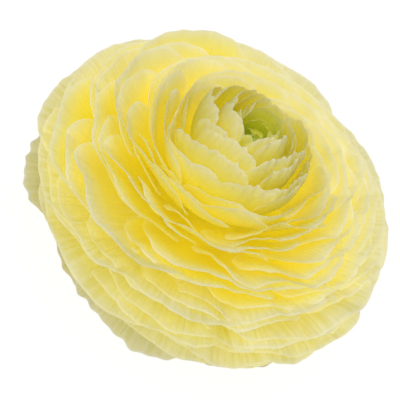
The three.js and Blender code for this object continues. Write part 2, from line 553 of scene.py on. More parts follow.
@dataclass
class Blade:
    """One petal: where it grows, and its grid of rows from claw to rim and columns across."""

    form: BladeForm
    turn: float
    azimuth: float
    length: float
    mouth: float
    rng: np.random.Generator
    width: float = field(init=False)
    across: Array = field(init=False)
    along: Array = field(init=False)
    place: Array = field(init=False)

    def __post_init__(self) -> None:
        """Lays out the grid, and its places across in millimetres."""
        self.width = 2 * self.length * HABIT.half_width
        rim_rows = 1 - np.array(RIM_ROWS) / self.length
        below = np.linspace(0, rim_rows[-1], ROWS_BELOW)[:-1]
        edge = 1 - SIDE_STRIP / (self.width / 2)
        columns = np.concatenate([[-1.0], np.linspace(-edge, edge, COLUMNS), [1.0]])
        self.across, self.along = np.meshgrid(columns, np.concatenate([below, rim_rows[::-1]]))
        self.place = self.across * min(self.width / 2, self.mouth)

    @property
    def ruffled(self) -> float:
        """How far it grows on the ruffled side, from 0 to 1."""
        return 0.5 + 0.5 * math.cos(math.radians(self.azimuth - RUFFLED_TOWARDS_DEG))

    @property
    def near(self) -> float:
        """How far it grows on the viewer's side, from 0 to 1."""
        return 0.5 - 0.5 * math.sin(math.radians(self.azimuth))

    @property
    def in_eye(self) -> float:
        """1 in the eye, and 0 further out in the bud."""
        return 1 - smooth(self.turn, *HABIT.eye_turns)

    def shares(self, whim: float) -> Array:
        """Draws the petal's outline.

        Args:
            whim: the petal's own slant, added to that of its side.

        Returns:
            How far from its seat each point of the grid lies, in lengths.
        """
        form, rng = self.form, self.rng
        left, right = np.clip(-self.across, 0, 1), np.clip(self.across, 0, 1)
        tip = 1 - form.left_rounding * rng.uniform(*HABIT.varies_little) * left**form.left_power
        tip -= form.corner * (left**HABIT.corner_power + right**HABIT.corner_power)
        side = math.cos(math.radians(self.azimuth - SLANTED_TOWARDS_DEG))
        towards = min(max(HABIT.slant_pull * side + whim, -1.0), 1.0)
        tip += form.slant * (self.across * towards - HABIT.slant_sink * abs(towards)) / 2
        tip -= form.right_rounding * rng.uniform(*HABIT.varies_much) * right**form.right_power
        crinkles = wander(rng, self.place, form.crinkle_lengths)
        scallop = crinkles + HABIT.scallops * wander(rng, self.place, HABIT.scallop_lengths)
        jitter = form.length_jitter * HABIT.uneven.at(self.ruffled)
        tip = tip * (1 + rng.normal(0, jitter)) + form.notch / self.length * 0.5 * scallop
        return self.along * tip * (1 - HABIT.eye_shorter.at(self.near) * self.in_eye)

    def relief(self) -> Array:
        """How far the petal stands inwards from its shell, in millimetres."""
        form, rng, place = self.form, self.rng, self.place
        rim = smooth(self.along, *HABIT.rim)
        ruffles = wander(rng, place, form.ruffle_lengths) * form.ruffle * rim
        total = ruffles * HABIT.ruffles.at(self.ruffled)
        crinkles = wander(rng, place, form.crinkle_lengths) * form.crinkle
        total += crinkles * smooth(self.along, *HABIT.very_rim) * HABIT.crinkles.at(self.ruffled)
        ribs = wander(rng, place, HABIT.rib_lengths) * form.ribs * rim
        total += ribs * HABIT.ribs.at(self.ruffled) * HABIT.eye_ribs.at(self.in_eye)
        total *= HABIT.eye_ruffles.at(self.in_eye)
        curl = np.clip((self.along - 1) * self.length / form.lip_width + 1, 0, 1) ** 2
        swing = HABIT.lip_swing.at(wander(rng, place, HABIT.lip_lengths))
        lip = form.lip * np.clip(swing, *HABIT.lip_limits) * curl
        lip *= HABIT.lips.at(self.ruffled)
        side = form.side_lip * smooth(np.abs(self.across), *HABIT.side_lip_across)
        return total - (lip + side * smooth(self.along, *HABIT.side_lip_along))

    def values(self, share: Array) -> dict[str, Array]:
        """Values that the finish reads.

        Args:
            share: how far from its seat each point of the grid lies, in lengths.

        Returns:
            The map, the pale tone and white edge, partly painted shade and highlight, the crinkled
            rim, and the age, partly painted light.
        """
        from_rim = (1 - self.along) * self.length
        from_side = (1 - np.abs(self.across)) * self.width / 2
        in_bud = 1 - smooth(self.turn, *HABIT.bud_ends)
        # The shorter reach on the bud's far side and on the outer petals brings the deep yellow
        # close under each rim: painted shade.
        reach = HABIT.tone_reach * (1 - HABIT.far_painted_shade * (1 - self.near) * in_bud)
        reach -= HABIT.outer_painted_shade * smooth(self.turn, *HABIT.outer_turns)
        age = self.turn + self.rng.uniform(*HABIT.age_varies) + HABIT.age_ruffled * self.ruffled
        # Paling is the ageing of the outer petals, and on the far side painted light.
        aged = smooth(age + HABIT.far_painted_light * (1 - self.near), *HABIT.ages_over)
        guard = smooth(self.turn, *HABIT.guard_turns)
        aged *= 1 - HABIT.guard_keeps * (1 - self.ruffled) * guard
        return {
            "uv": np.stack([self.across / 2 + 0.5, share], axis=2),
            "tone": np.clip(1 - from_rim / reach, 0, 1),
            "edge": np.clip(1 - np.minimum(from_rim, from_side) / HABIT.edge_width, 0, 1),
            "rim": smooth(self.along, *HABIT.very_rim),
            "age": np.full_like(self.across, aged),
        }


@dataclass(frozen=True)
class EyeRing:
    """One ring of small curled petals in the eye. Millimetres and degrees."""

    first: float
    length: float
    half_width: float
    start: float
    hook: float
    tone: float


EYE_RINGS = (
    EyeRing(first=-4, length=23.0, half_width=4.2, start=64, hook=118, tone=0.4),
    EyeRing(first=9, length=20.8, half_width=3.3, start=70, hook=140, tone=0.2),
    EyeRing(first=22, length=18.8, half_width=2.3, start=76, hook=185, tone=0.0),
)
PER_RING = 4
RING_STEP_DEG = 36

# Slope of a small petal where its hook starts, where its foot stands, how thick it is, and what
# its seed has in place of a number in the spiral.
HOOK_FROM_DEG = 98
EYE_THICKNESS = 0.2
EYE_SEED = 900
FOOT_RADIUS = 2.1
FOOT_HEIGHT = 19.6


@dataclass
class Corolla:
    """All petals of the flower, one piece for each solid petal."""

    stem: Vector
    shells: Shells
    seed: int = 20

    def blade(self, tissue: Tissue, kind: PetalKind, first: int, step: int) -> None:
        """Adds one petal to a piece.

        Args:
            tissue: what the petal is added to.
            kind: its kind.
            first: number of the solid petal that it follows in the spiral.
            step: how many petals after it.
        """
        form, shells = FORMS[kind], self.shells
        rng = np.random.default_rng((self.seed, first, step))
        whim = np.random.default_rng((self.seed, first, step, 1)).normal(0, HABIT.slant_whim)
        turn = first + step / form.per_node
        azimuth = NODE_STEP_DEG * first + PETAL_STEP_DEG[form.per_node] * step
        azimuth += rng.normal(0, form.azimuth_jitter)
        spread = math.radians(float(shells.read("spread", turn)) * form.spread_scale)
        mouth = spread * float(shells.point(np.array(turn), np.array(1.0))[0])
        blade = Blade(form, turn, azimuth, float(shells.read("length", turn)), mouth, rng)
        across = blade.across
        share = blade.shares(whim)
        relief = blade.relief()
        spread *= 1 + form.spread_jitter * rng.uniform(-1, 1)
        middle = math.radians(azimuth)
        swell = self.swell(middle + across * spread, turn) * smooth(share, *HABIT.swells_over)
        shell = turn - (form.cup_turns * across**2 + form.twist_turns * across) * share
        radius, height, slope = shells.point(shell, share)
        radius = radius - np.sin(slope) * (relief + swell)
        height = height + np.cos(slope) * (relief + swell)
        radius += HABIT.eye_opening * blade.in_eye * smooth(share, *HABIT.eye_opens_over)
        height += np.maximum(0.0, HABIT.lowest - height) * smooth(share, *HABIT.lifts_over)
        claw = form.claw_half_width / np.maximum(radius, 1.0)
        flare = form.flare * rng.uniform(*HABIT.varies_much)
        flare = flare * np.where(across > 0, 1.0, HABIT.left_flare) * across**2
        flared = 1 - flare * (1 - smooth(blade.along, *HABIT.flares_over) ** HABIT.flare_power)
        opening = smooth(share, *HABIT.opens_over)
        angle = middle + across * (claw + (spread * flared - claw) * opening)
        sheet = about_receptacle(about_stem(radius, angle, height), self.stem,
                                 float(shells.read("lean", turn)))
        tissue.add_blade(sheet, form.thickness, blade.values(share))

    def petaloid(self, tissue: Tissue, index: int) -> None:
        """Adds one small curled petal of the eye, hooked over the carpels.

        Args:
            tissue: what it is added to.
            index: its number, from the near right round to the far left.
        """
        rng = np.random.default_rng((self.seed, EYE_SEED, index))
        ring = EYE_RINGS[index // PER_RING]
        azimuth = ring.first + RING_STEP_DEG * (index % PER_RING) + rng.normal(0, 6)
        azimuth = math.radians(azimuth)
        length = ring.length + rng.uniform(-0.6, 0.6)
        half = ring.half_width * rng.uniform(0.9, 1.1)
        hook = ring.hook + rng.uniform(-15, 20)
        rows = np.concatenate([np.linspace(0, 0.6, 8)[:-1], np.linspace(0.6, 1, 18)])
        across, along = np.meshgrid(np.linspace(-1, 1, 17), rows)
        slope = ring.start + (HOOK_FROM_DEG - ring.start) * rows
        slope = np.radians(slope + (hook - HOOK_FROM_DEG) * smooth(rows, 0.78, 1.0) ** 1.3)
        steps = np.diff(rows, prepend=0.0) * length
        radius = (FOOT_RADIUS + np.cumsum(np.cos(slope) * steps))[:, None]
        height = (FOOT_HEIGHT + np.cumsum(np.sin(slope) * steps))[:, None]
        width = half * (0.3 + 0.7 * smooth(along, 0.0, 0.5)) * (1 - 0.45 * along**9)
        place = across * width
        radius = radius - 0.5 * place**2 / radius + 0.12 * wander(rng, place, (1.6, 2.7)) * along**3
        height = height + 0.2 * wander(rng, place, (1.9, 3.1)) * along**4
        sheet = np.stack([radius * math.cos(azimuth) - place * math.sin(azimuth),
                          radius * math.sin(azimuth) + place * math.cos(azimuth), height], axis=2)
        from_edge = np.minimum((1 - np.abs(across)) * width, (1 - along) * length)
        lean = float(self.shells.read("lean", 0.0))
        tissue.add_blade(about_receptacle(sheet, self.stem, lean), EYE_THICKNESS, {
            "uv": np.stack([across / 2 + 0.5, along], axis=2),
            "tone": ring.tone + smooth(along, 0.7, 1.0) * 0.5,
            # Pale edge: partly the margin's own colour, partly a painted highlight.
            "edge": np.clip(1 - from_edge / 0.4, 0, 1) * 0.6 * along,
            "rim": smooth(along, 0.8, 1.0) * 0.3, "age": 0.0 * across,
        })

    @staticmethod
    def swell(angle: Array, turn: float) -> Array:
        """Slow swelling that neighbouring petals share, in millimetres.

        Args:
            angle: direction round the stem, in radians.
            turn: place in the spiral.

        Returns:
            How far the petals stand inwards there.
        """
        total = np.zeros_like(angle)
        for waves, turns_per_wave, phase, height in SWELLS:
            total += height * np.sin(waves * angle + 2 * math.pi * turn / turns_per_wave + phase)
        return total

    def pieces(self) -> list[Piece]:
        """All petals, from the eye outwards."""
        slots = {part["node"]: part["material_slot"] for part in frame["record"]["subparts"]}
        made = []
        for kind in PetalKind:
            for i in range(kind.nodes):
                tissue = Tissue()
                outermost = kind is PetalKind.GUARD and i == kind.nodes - 1
                for step in range(1 if outermost else FORMS[kind].per_node):
                    self.blade(tissue, kind, kind.first + i, step)
                if kind is PetalKind.BUD and i == 0:
                    for index in range(len(EYE_RINGS) * PER_RING):
                        self.petaloid(tissue, index)
                node = f"{kind.node}_{i + 1:02d}"
                name = f"{kind.piece}_{i + 1:02d}"
                made.append((name, node, slots[node], tissue.mesh(name)))
        return made


# Radius and height of the stub's wall from the middle of its bore, round its cut end and up its
# skin to the receptacle, and the places in this list where the bore ends and the skin starts.
STUB_WALL = (
    (0, 4.0), (0.75, 4.08), (1.3, 4.0), (1.4, 3.8), (1.42, 2.6), (1.38, 1.3), (1.4, 0.12),
    (1.5, 0), (2.1, 0), (2.6, 0), (3.08, 0), (3.2, 0.12), (3.17, 1.0), (3.14, 2.0), (3.15, 3.0),
    (3.2, 3.9), (3.45, 4.5), (3.9, 4.95), (4.15, 5.4), (4.22, 6.0), (4.2, 6.7), (4.22, 7.15),
)
BORE_ENDS = 6
SKIN_STARTS = 11


@dataclass
class StemStub:
    """Cut stub of stem with its collar, and the receptacle that it ends in."""

    stem: Vector
    columns: int = 112
    ribs: int = 15
    rib_height: float = 0.1
    fine_ribs: int = 31
    fine_rib_height: float = 0.03
    scar_height: float = 0.16
    bore_tone: float = 0.7

    def pieces(self) -> list[Piece]:
        """The one grown piece of stem and receptacle."""
        polar = np.radians(np.arange(142, 3, -5.0))
        ball = zip(RECEPTACLE_RADIUS * np.sin(polar),
                   RECEPTACLE_CENTRE_Z + RECEPTACLE_RADIUS * np.cos(polar))
        outline = np.array([*STUB_WALL, *ball, (0, RECEPTACLE_CENTRE_Z + RECEPTACLE_RADIUS)])
        order = np.arange(len(outline))
        angle = np.arange(self.columns) * 2 * math.pi / self.columns
        height = outline[:, 1:]
        outside = (order >= SKIN_STARTS)[:, None]
        ribs = self.rib_height * np.cos(self.ribs * angle + 0.5 * np.sin(2 * angle + height))
        ribs = ribs + self.fine_rib_height * np.sin(self.fine_ribs * angle + 2.0 * height)
        skin = ribs * outside * (1 - smooth(height, 3.6, 5.2)) * smooth(height, -0.1, 0.4)
        scars = self.scar_height * np.sin(13 * angle + 1.9 * height)
        scars = scars * np.sin(8 * angle - 2.7 * height) * outside
        relief = skin + scars * smooth(height, 7.2, 8.4) * (1 - smooth(height, 18.5, 19.8))
        cut = ((order > BORE_ENDS) & (order < SKIN_STARTS)) * 1.0
        cut[:BORE_ENDS + 1] = self.bore_tone
        bare = np.maximum(cut, order <= SKIN_STARTS)
        sharp = np.isin(order, (BORE_ENDS + 1, SKIN_STARTS - 1))
        tissue = Tissue()
        tissue.add_turned(outline, relief, cut, bare, sharp)
        tissue.points[0] = about_receptacle(tissue.points[0], self.stem)
        return [("stem_stub", "stem_and_receptacle", "stem", tissue.mesh("stem_stub"))]


@dataclass
class CarpelHead:
    """Green cone of carpels in the eye, as the core that geometry nodes cover with knobs."""

    stem: Vector
    shells: Shells
    seat: float = 20.3
    height: float = 15.6
    shares: tuple[float, ...] = (0, 0.14, 0.41, 0.66, 0.85, 0.96, 1)
    radii: tuple[float, ...] = (0.8, 1.1, 1.85, 2.2, 1.8, 0.8, 0.0)

    def pieces(self) -> list[Piece]:
        """The one piece of the carpels."""
        share = np.linspace(0, 1, 26)
        radius = np.interp(share, self.shares, self.radii)
        radius[0] = 0.0
        outline = np.stack([radius, self.seat + self.height * share], axis=1)
        tissue = Tissue()
        none = np.zeros(len(share))
        tissue.add_turned(outline, np.zeros((len(share), 32)), share, none, none > 0)
        lean = float(self.shells.read("lean", 0.0))
        tissue.points[0] = about_receptacle(tissue.points[0], self.stem, lean)
        return [("carpels", "carpel_head", "carpels", tissue.mesh("carpels"))]


@dataclass
class Calyx:
    """Five sepals under the guard petals. Lengths in millimetres, slopes in degrees."""

    stem: Vector
    seed: int = 7
    count: int = 5
    length: float = 12.0
    half_width: float = 5.0
    thickness: float = 0.5
    slopes: Range = (-34.0, -6.0)
    foot_radius: float = 4.7
    foot_height: float = 6.1
    claw_half_width: float = 1.7
    spread: float = 24.0
    keel: float = 0.35
    pale_rim: float = 9.0

    def sepal(self, i: int) -> Tissue:
        """Makes one sepal.

        Args:
            i: its number.

        Returns:
            The sepal's tissue.
        """
        rng = np.random.default_rng((self.seed, i))
        rows = np.concatenate([np.linspace(0, 0.8, 18)[:-1], np.linspace(0.8, 1, 9)])
        across, along = np.meshgrid(np.linspace(-1, 1, 39), rows)
        share = along * (1 - 0.75 * np.abs(across) ** 1.5 * (1 - 0.05 * rng.random()))
        base, end = np.radians(self.slopes)
        bend = (end - base) * share
        chord = self.length * share * np.sinc(bend / 2 / math.pi)
        place = across * self.half_width
        keel = self.keel * np.exp(-(across / 0.1) ** 2) + 0.5 * across**2
        wave = 0.12 * wander(rng, place, (2.3, 3.7)) * smooth(along, 0.5, 1.0)
        offset = (keel - self.keel) * smooth(share, 0.0, 0.3) * (1 - share) + wave
        radius = self.foot_radius + chord * np.cos(base + bend / 2) - np.sin(base + bend) * offset
        height = self.foot_height + chord * np.sin(base + bend / 2) + np.cos(base + bend) * offset
        claw = self.claw_half_width / radius
        spread = claw + (math.radians(self.spread) - claw) * smooth(share, 0.0, 0.6)
        angle = math.radians(360.0 / self.count * i) + across * spread
        side = 1 - np.maximum(along, np.abs(across))
        tissue = Tissue()
        sheet = about_receptacle(about_stem(radius, angle, height), self.stem)
        tissue.add_blade(sheet, self.thickness, {
            "uv": np.stack([across / 2 + 0.5, share], axis=2),
            "tone": np.clip(1 - side * self.pale_rim, 0, 1),
            "edge": 0 * across, "rim": 0 * across,
        })
        return tissue

    def pieces(self) -> list[Piece]:
        """One piece for each sepal."""
        names = [f"sepal_blade_{i + 1}" for i in range(self.count)]
        return [(name, f"sepal_{i + 1}", "sepal", self.sepal(i).mesh(name))
                for i, name in enumerate(names)]


@dataclass
class Wiring:
    """A node tree that is being built."""

    tree: bpy.types.NodeTree

    def add(self, kind: str, sockets: dict | None = None, **settings: object) -> bpy.types.Node:
        """Adds a node.

        Args:
            kind: Blender's name for its type.
            sockets: values or sources for its inputs, by name or number. A node stands for its
                first output.
            settings: the node's own properties.

        Returns:
            The node.
        """
        node = self.tree.nodes.new(kind)
        for name, value in settings.items():
            setattr(node, name, value)
        for name, value in (sockets or {}).items():
            source = value.outputs[0] if isinstance(value, bpy.types.Node) else value
            if isinstance(source, Socket):
                self.tree.links.new(source, node.inputs[name])
            else:
                node.inputs[name].default_value = source
        return node

    def math(self, operation: str, *values: object) -> Socket:
        """Result of a sum on one, two or three numbers or sockets."""
        kind = "ShaderNodeMath"
        return self.add(kind, dict(enumerate(values)), operation=operation).outputs[0]

    def mix(self, share: object, first: object, second: object,
            blend: str = "MIX") -> Socket:
        """Blend of two colours, as a socket."""
        sockets = {0: share, 6: first, 7: second}
        node = self.add("ShaderNodeMix", sockets, data_type="RGBA", blend_type=blend)
        return node.outputs[2]

    def blend(self, share: Socket, first: bpy.types.Node, second: bpy.types.Node) -> bpy.types.Node:
        """Mix of two shaders."""
        return self.add("ShaderNodeMixShader", {0: share, 1: first, 2: second})

    def stored(self, name: str, kind: str = "FLOAT") -> bpy.types.Node:
        """A value that the mesh keeps at its points, for geometry nodes."""
        return self.add("GeometryNodeInputNamedAttribute", {"Name": name}, data_type=kind)

    def attribute(self, name: str) -> Socket:
        """A value that the mesh keeps at its points."""
        return self.add("ShaderNodeAttribute", attribute_name=name).outputs["Fac"]

    def ranged(self, value: Socket, source: Range = (0.0, 1.0), to: Range = (0.0, 1.0)) -> Socket:
        """A value mapped from its range to another."""
        sockets = {"Value": value, "From Min": source[0], "From Max": source[1],
                   "To Min": to[0], "To Max": to[1]}
        return self.add("ShaderNodeMapRange", sockets).outputs[0]


def blank_material(name: str) -> tuple[bpy.types.Material, Wiring]:
    """New material without nodes, and its wiring."""
    material = bpy.data.materials.new(name)
    material.use_nodes = True
    material.node_tree.nodes.clear()
    return material, Wiring(material.node_tree)


def shader_group(name: str, inputs: Sequence[str], outputs: Sequence[str],
                 wire: Callable) -> bpy.types.NodeTree:
    """Shader node group of an effect that several finishes share.

    Args:
        name: the group's name.
        inputs: its float inputs. Place is a vector and comes first.
        outputs: its float outputs.
        wire: builds it, given the wiring and the input node, and returns the output sockets.

    Returns:
        The group.
    """
    tree = bpy.data.node_groups.new(name, "ShaderNodeTree")
    tree.interface.new_socket("Place", in_out="INPUT", socket_type="NodeSocketVector")
    for label in inputs:
        tree.interface.new_socket(label, in_out="INPUT", socket_type="NodeSocketFloat")
    for label in outputs:
        tree.interface.new_socket(label, in_out="OUTPUT", socket_type="NodeSocketFloat")
    wiring = Wiring(tree)
    source = wiring.add("NodeGroupInput")
    wiring.add("NodeGroupOutput", dict(zip(outputs, wire(wiring, source.outputs))))
    return tree


def wire_veins(wiring: Wiring, inputs: object) -> tuple[Socket, ...]:
    """Fine lines that fan out from the claw: mask and height."""
    stretch = wiring.add("ShaderNodeCombineXYZ", {
        "X": inputs["Veins"], "Y": inputs["Along"], "Z": 1.0})
    fan = wiring.add("ShaderNodeVectorMath", {0: inputs["Place"], 1: stretch},
                     operation="MULTIPLY")
    fine = wiring.add("ShaderNodeTexNoise", {
        "Vector": fan, "Scale": 1.0, "Detail": 3.0, "Roughness": 0.6, "Distortion": 0.4})
    return wiring.ranged(fine.outputs[0], (0.38, 0.68)), fine.outputs[0]


def wire_mottle(wiring: Wiring, inputs: object) -> tuple[Socket, ...]:
    """Soft cloudy variation over plant tissue: cloud and grain."""
    cloud = wiring.add("ShaderNodeTexNoise", {
        "Vector": inputs["Place"], "Scale": inputs["Cloud scale"], "Detail": 2.0})
    grain = wiring.add("ShaderNodeTexNoise", {
        "Vector": inputs["Place"], "Scale": inputs["Grain scale"], "Detail": 4.0, "Roughness": 0.7})
    return cloud.outputs[0], grain.outputs[0]


@dataclass
class Effects:
    """Shader groups that the finishes share."""

    veins: bpy.types.NodeTree = field(init=False)
    mottle: bpy.types.NodeTree = field(init=False)

    def __post_init__(self) -> None:
        """Builds each group once."""
        self.veins = shader_group("fan_veins", ("Veins", "Along"), ("Mask", "Height"), wire_veins)
        self.mottle = shader_group("tissue_mottle", ("Cloud scale", "Grain scale"),
                                   ("Cloud", "Grain"), wire_mottle)


# Places of a petal's four colours on its tone, from claw to rim.
# The deep yellow at the claw is partly the petal's own pigment and partly painted glow of light
# bounced between the petals.
TONE_STOPS = (0.1, 0.48, 0.78, 0.94)


@dataclass(frozen=True)
class PetalFinish:
    """Silky translucent petal tissue, coloured from its claw to its rim; the deep claw colour is
    partly painted glow, the pale edge partly a painted highlight.
    """

    name: str
    deep: int
    middle: int
    pale: int
    rim: int
    edge: int
    aged: int = 0xF4F2D6
    ageing: float = 0.8
    veins: float = 0.1
    aged_veins: float = 0.35
    pale_lines: float = 0.55
    vein_count: float = 70.0
    vein_stretch: float = 2.5
    cloud_scale: float = 110.0
    grain_scale: float = 1800.0
    cloud_tone: float = 0.24
    vein_tone: float = 0.2
    through_claw: float = 0.5
    through_rim: float = 0.26
    through_warmth: float = 1.15
    lets: Colour = (0.95, 0.945, 0.75, 1.0)
    roughness: float = 0.55
    relief: float = 0.0003

    def colour(self, wiring: Wiring, tone: Socket, cloud: Socket,
               veins: Sequence[Socket]) -> Socket:
        """Wires the colour.

        Args:
            wiring: the material's nodes.
            tone: 0 at the claw and 1 at the rim.
            cloud: soft variation.
            veins: mask and height of the veins.

        Returns:
            The colour.
        """
        mask, height = veins
        cloudy = wiring.math("MULTIPLY_ADD", cloud, self.cloud_tone, -self.cloud_tone / 2)
        lines = wiring.math("MULTIPLY_ADD", height, self.vein_tone, -self.vein_tone / 2)
        shade = wiring.math("ADD", wiring.math("ADD", tone, cloudy), lines)
        # Ramp from the deep claw colour, partly pigment and partly painted glow in the crevices, to
        # the pale rim.
        ramp = wiring.add("ShaderNodeValToRGB", {"Fac": shade})
        while len(ramp.color_ramp.elements) < len(TONE_STOPS):
            ramp.color_ramp.elements.new(0.5)
        codes = (self.deep, self.middle, self.pale, self.rim)
        for element, position, code in zip(ramp.color_ramp.elements, TONE_STOPS, codes):
            element.position = position
            element.color = srgb(code)
        # The age pales the petal towards the aged colour: ageing of the outer petals, and on the
        # far side painted light.
        age = wiring.attribute("age")
        paling = wiring.math("MULTIPLY", age, self.ageing)
        paled = wiring.mix(paling, ramp.outputs["Color"], srgb(self.aged))
        depth = wiring.math("MULTIPLY_ADD", age, self.aged_veins, self.veins)
        shaded = wiring.mix(wiring.math("MULTIPLY", mask, depth), paled, srgb(self.middle),
                            "MULTIPLY")
        between = wiring.math("MULTIPLY", wiring.math("SUBTRACT", 1.0, mask), age)
        veined = wiring.mix(wiring.math("MULTIPLY", between, self.pale_lines), shaded,
                            srgb(self.edge))
        # Pale edge along the rim and sides: partly the paler margin, partly a painted highlight
        # where the thin rim catches the light.
        return wiring.mix(wiring.attribute("edge"), veined, srgb(self.edge))

    def material(self, effects: Effects) -> bpy.types.Material:
        """Builds the finish.

        Args:
            effects: shared shader groups.

        Returns:
            The material.
        """
        material, wiring = blank_material(self.name)
        own = wiring.add("ShaderNodeUVMap", uv_map="petal").outputs[0]
        place = wiring.add("ShaderNodeTexCoord").outputs["Object"]
        veins = wiring.add("ShaderNodeGroup", {
            "Place": own, "Veins": self.vein_count, "Along": self.vein_stretch,
        }, node_tree=effects.veins).outputs
        mottle = wiring.add("ShaderNodeGroup", {
            "Place": place, "Cloud scale": self.cloud_scale, "Grain scale": self.grain_scale,
        }, node_tree=effects.mottle).outputs
        tone = wiring.attribute("tone")
        colour = self.colour(wiring, tone, mottle["Cloud"], (veins["Mask"], veins["Height"]))
        rough = wiring.ranged(mottle["Grain"], to=(self.roughness - 0.08, self.roughness + 0.08))
        relief = wiring.math("ADD", veins["Height"], wiring.math("MULTIPLY", mottle["Grain"], 0.25))
        bump = wiring.add("ShaderNodeBump", {
            "Strength": 0.45, "Distance": self.relief, "Height": relief}).outputs[0]
        front = wiring.add("ShaderNodeBsdfPrincipled", {
            "Base Color": colour, "Roughness": rough, "Normal": bump, "Specular IOR Level": 0.3,
            "Sheen Weight": 0.15, "Sheen Roughness": 0.5, "Sheen Tint": (1.0, 0.97, 0.75, 1)})
        warm = wiring.add("ShaderNodeGamma", {"Color": colour, "Gamma": self.through_warmth})
        behind = wiring.add("ShaderNodeBsdfTranslucent", {
            "Color": warm, "Normal": bump})
        through = wiring.ranged(tone, (0.5, 1.0), (self.through_claw, self.through_rim))
        both = wiring.blend(through, front, behind)
        shadow = wiring.add("ShaderNodeLightPath").outputs["Is Shadow Ray"]
        let = wiring.add("ShaderNodeBsdfTransparent", {"Color": self.lets})
        lit = wiring.blend(shadow, both, let)
        wiring.add("ShaderNodeOutputMaterial", {"Surface": lit})
        return material


@dataclass(frozen=True)
class SkinFinish:
    """Waxy green skin, streaked lengthwise, paler where the tone is high."""

    name: str
    dark: int
    light: int
    pale: int
    roughness: float = 0.5
    streaks: float = 0.4
    streak_scale: float = 900.0
    streak_stretch: float = 0.12
    cloud_scale: float = 420.0
    grain_scale: float = 2600.0
    relief: float = 0.0002

    def material(self, effects: Effects) -> bpy.types.Material:
        """Builds the finish.

        Args:
            effects: shared shader groups.

        Returns:
            The material.
        """
        material, wiring = blank_material(self.name)
        place = wiring.add("ShaderNodeTexCoord").outputs["Object"]
        mottle = wiring.add("ShaderNodeGroup", {
            "Place": place, "Cloud scale": self.cloud_scale, "Grain scale": self.grain_scale,
        }, node_tree=effects.mottle).outputs
        stretched = wiring.add("ShaderNodeMapping", {
            "Vector": place, "Scale": (1.0, 1.0, self.streak_stretch)})
        streak = wiring.add("ShaderNodeTexNoise", {
            "Vector": stretched, "Scale": self.streak_scale, "Detail": 2.0}).outputs[0]
        cloudy = wiring.ranged(mottle["Cloud"], (0.3, 0.7))
        skin = wiring.mix(cloudy, srgb(self.dark), srgb(self.light))
        lined = wiring.mix(wiring.math("MULTIPLY", streak, self.streaks), skin, srgb(self.pale))
        colour = wiring.mix(wiring.attribute("tone"), lined, srgb(self.pale))
        rough = wiring.ranged(mottle["Grain"], to=(self.roughness - 0.1, self.roughness + 0.1))
        relief = wiring.math("ADD", streak, wiring.math("MULTIPLY", mottle["Grain"], 0.4))
        bump = wiring.add("ShaderNodeBump", {
            "Strength": 0.5, "Distance": self.relief, "Height": relief})
        surface = wiring.add("ShaderNodeBsdfPrincipled", {
            "Base Color": colour, "Roughness": rough, "Normal": bump,
            "Specular IOR Level": 0.4})
        wiring.add("ShaderNodeOutputMaterial", {"Surface": surface})
        return material


# Petal colours from claw to rim, then the edge colour, which is partly the paler margin and partly
# a painted highlight.
FINISHES: dict[str, PetalFinish | SkinFinish] = {
    "stem": SkinFinish("stem_skin", 0x7E9A46, 0x9DB45C, 0xC9D69A, roughness=0.45),
    "carpels": SkinFinish("carpel_skin", 0x4E7020, 0x7C9C34, 0xB4C85A, roughness=0.4, streaks=0.2),
    "sepal": SkinFinish("sepal_skin", 0x8A9E4E, 0xA8B868, 0xDCE0B4, roughness=0.6),
    "eye_petal": PetalFinish("eye_petal_silk", 0xE4EA44, 0xF0F05C, 0xF4F48A, 0xF8F6B4, 0xFAF8D0),
    "bud_petal": PetalFinish("bud_petal_silk", 0xFAF66C, 0xFAF690, 0xFBF7AA, 0xFCF8C6, 0xFDFADC),
    "petal": PetalFinish("petal_silk", 0xFDF870, 0xFDF896, 0xFCF8B2, 0xFDFAD2, 0xFEFCE8),
    "guard_petal": PetalFinish("guard_petal_silk", 0xF4F0A0, 0xF4F0B4, 0xF4F1C6, 0xF6F3D8, 0xFAF9F0,
                               aged=0xF1EFD2),
}


def in_scene(name: str, data: bpy.types.ID) -> bpy.types.Object:
    """New object of the scene, with a name and its mesh, lamp or camera."""
    made = bpy.data.objects.new(name, data)
    bpy.context.scene.collection.objects.link(made)
    return made


# Point that the lamps are aimed at, in metres.
LAMPS_AIM = (0, 0, 0.02)


@dataclass(frozen=True)
class Softbox:
    """Square lamp aimed at the flower, placed by the picture's directions. Metres and watts."""

    name: str
    right: float
    up: float
    near: float
    distance: float
    size: float
    power: float
    colour: tuple[float, float, float]

    def build(self, right: Vector, up: Vector, ahead: Vector) -> None:
        """Makes the lamp.

        Args:
            right: the picture's right.
            up: the picture's upward direction.
            ahead: the way that the camera looks.
        """
        towards = right * self.right + up * self.up - ahead * self.near
        lamp = bpy.data.lights.new(self.name, "AREA")
        lamp.shape = "SQUARE"
        lamp.size = self.size
        lamp.energy = self.power
        lamp.color = self.colour
        box = in_scene(self.name, lamp)
        box.location = Vector(LAMPS_AIM) + towards.normalized() * self.distance
        box.rotation_mode = "QUATERNION"
        box.rotation_quaternion = towards.to_track_quat("Z", "Y")


SOFTBOXES = (
    Softbox("front_softbox", right=-0.1, up=-0.05, near=1.0, distance=0.8, size=0.25, power=1.31,
            colour=(1.0, 1.0, 0.98)),
    Softbox("key_softbox", right=0.5, up=0.7, near=0.6, distance=0.7, size=0.4, power=0.91,
            colour=(1.0, 0.99, 0.96)),
    Softbox("side_softbox", right=0.9, up=-0.4, near=0.5, distance=0.7, size=0.5, power=0.1,
            colour=(1.0, 0.99, 0.97)),
)


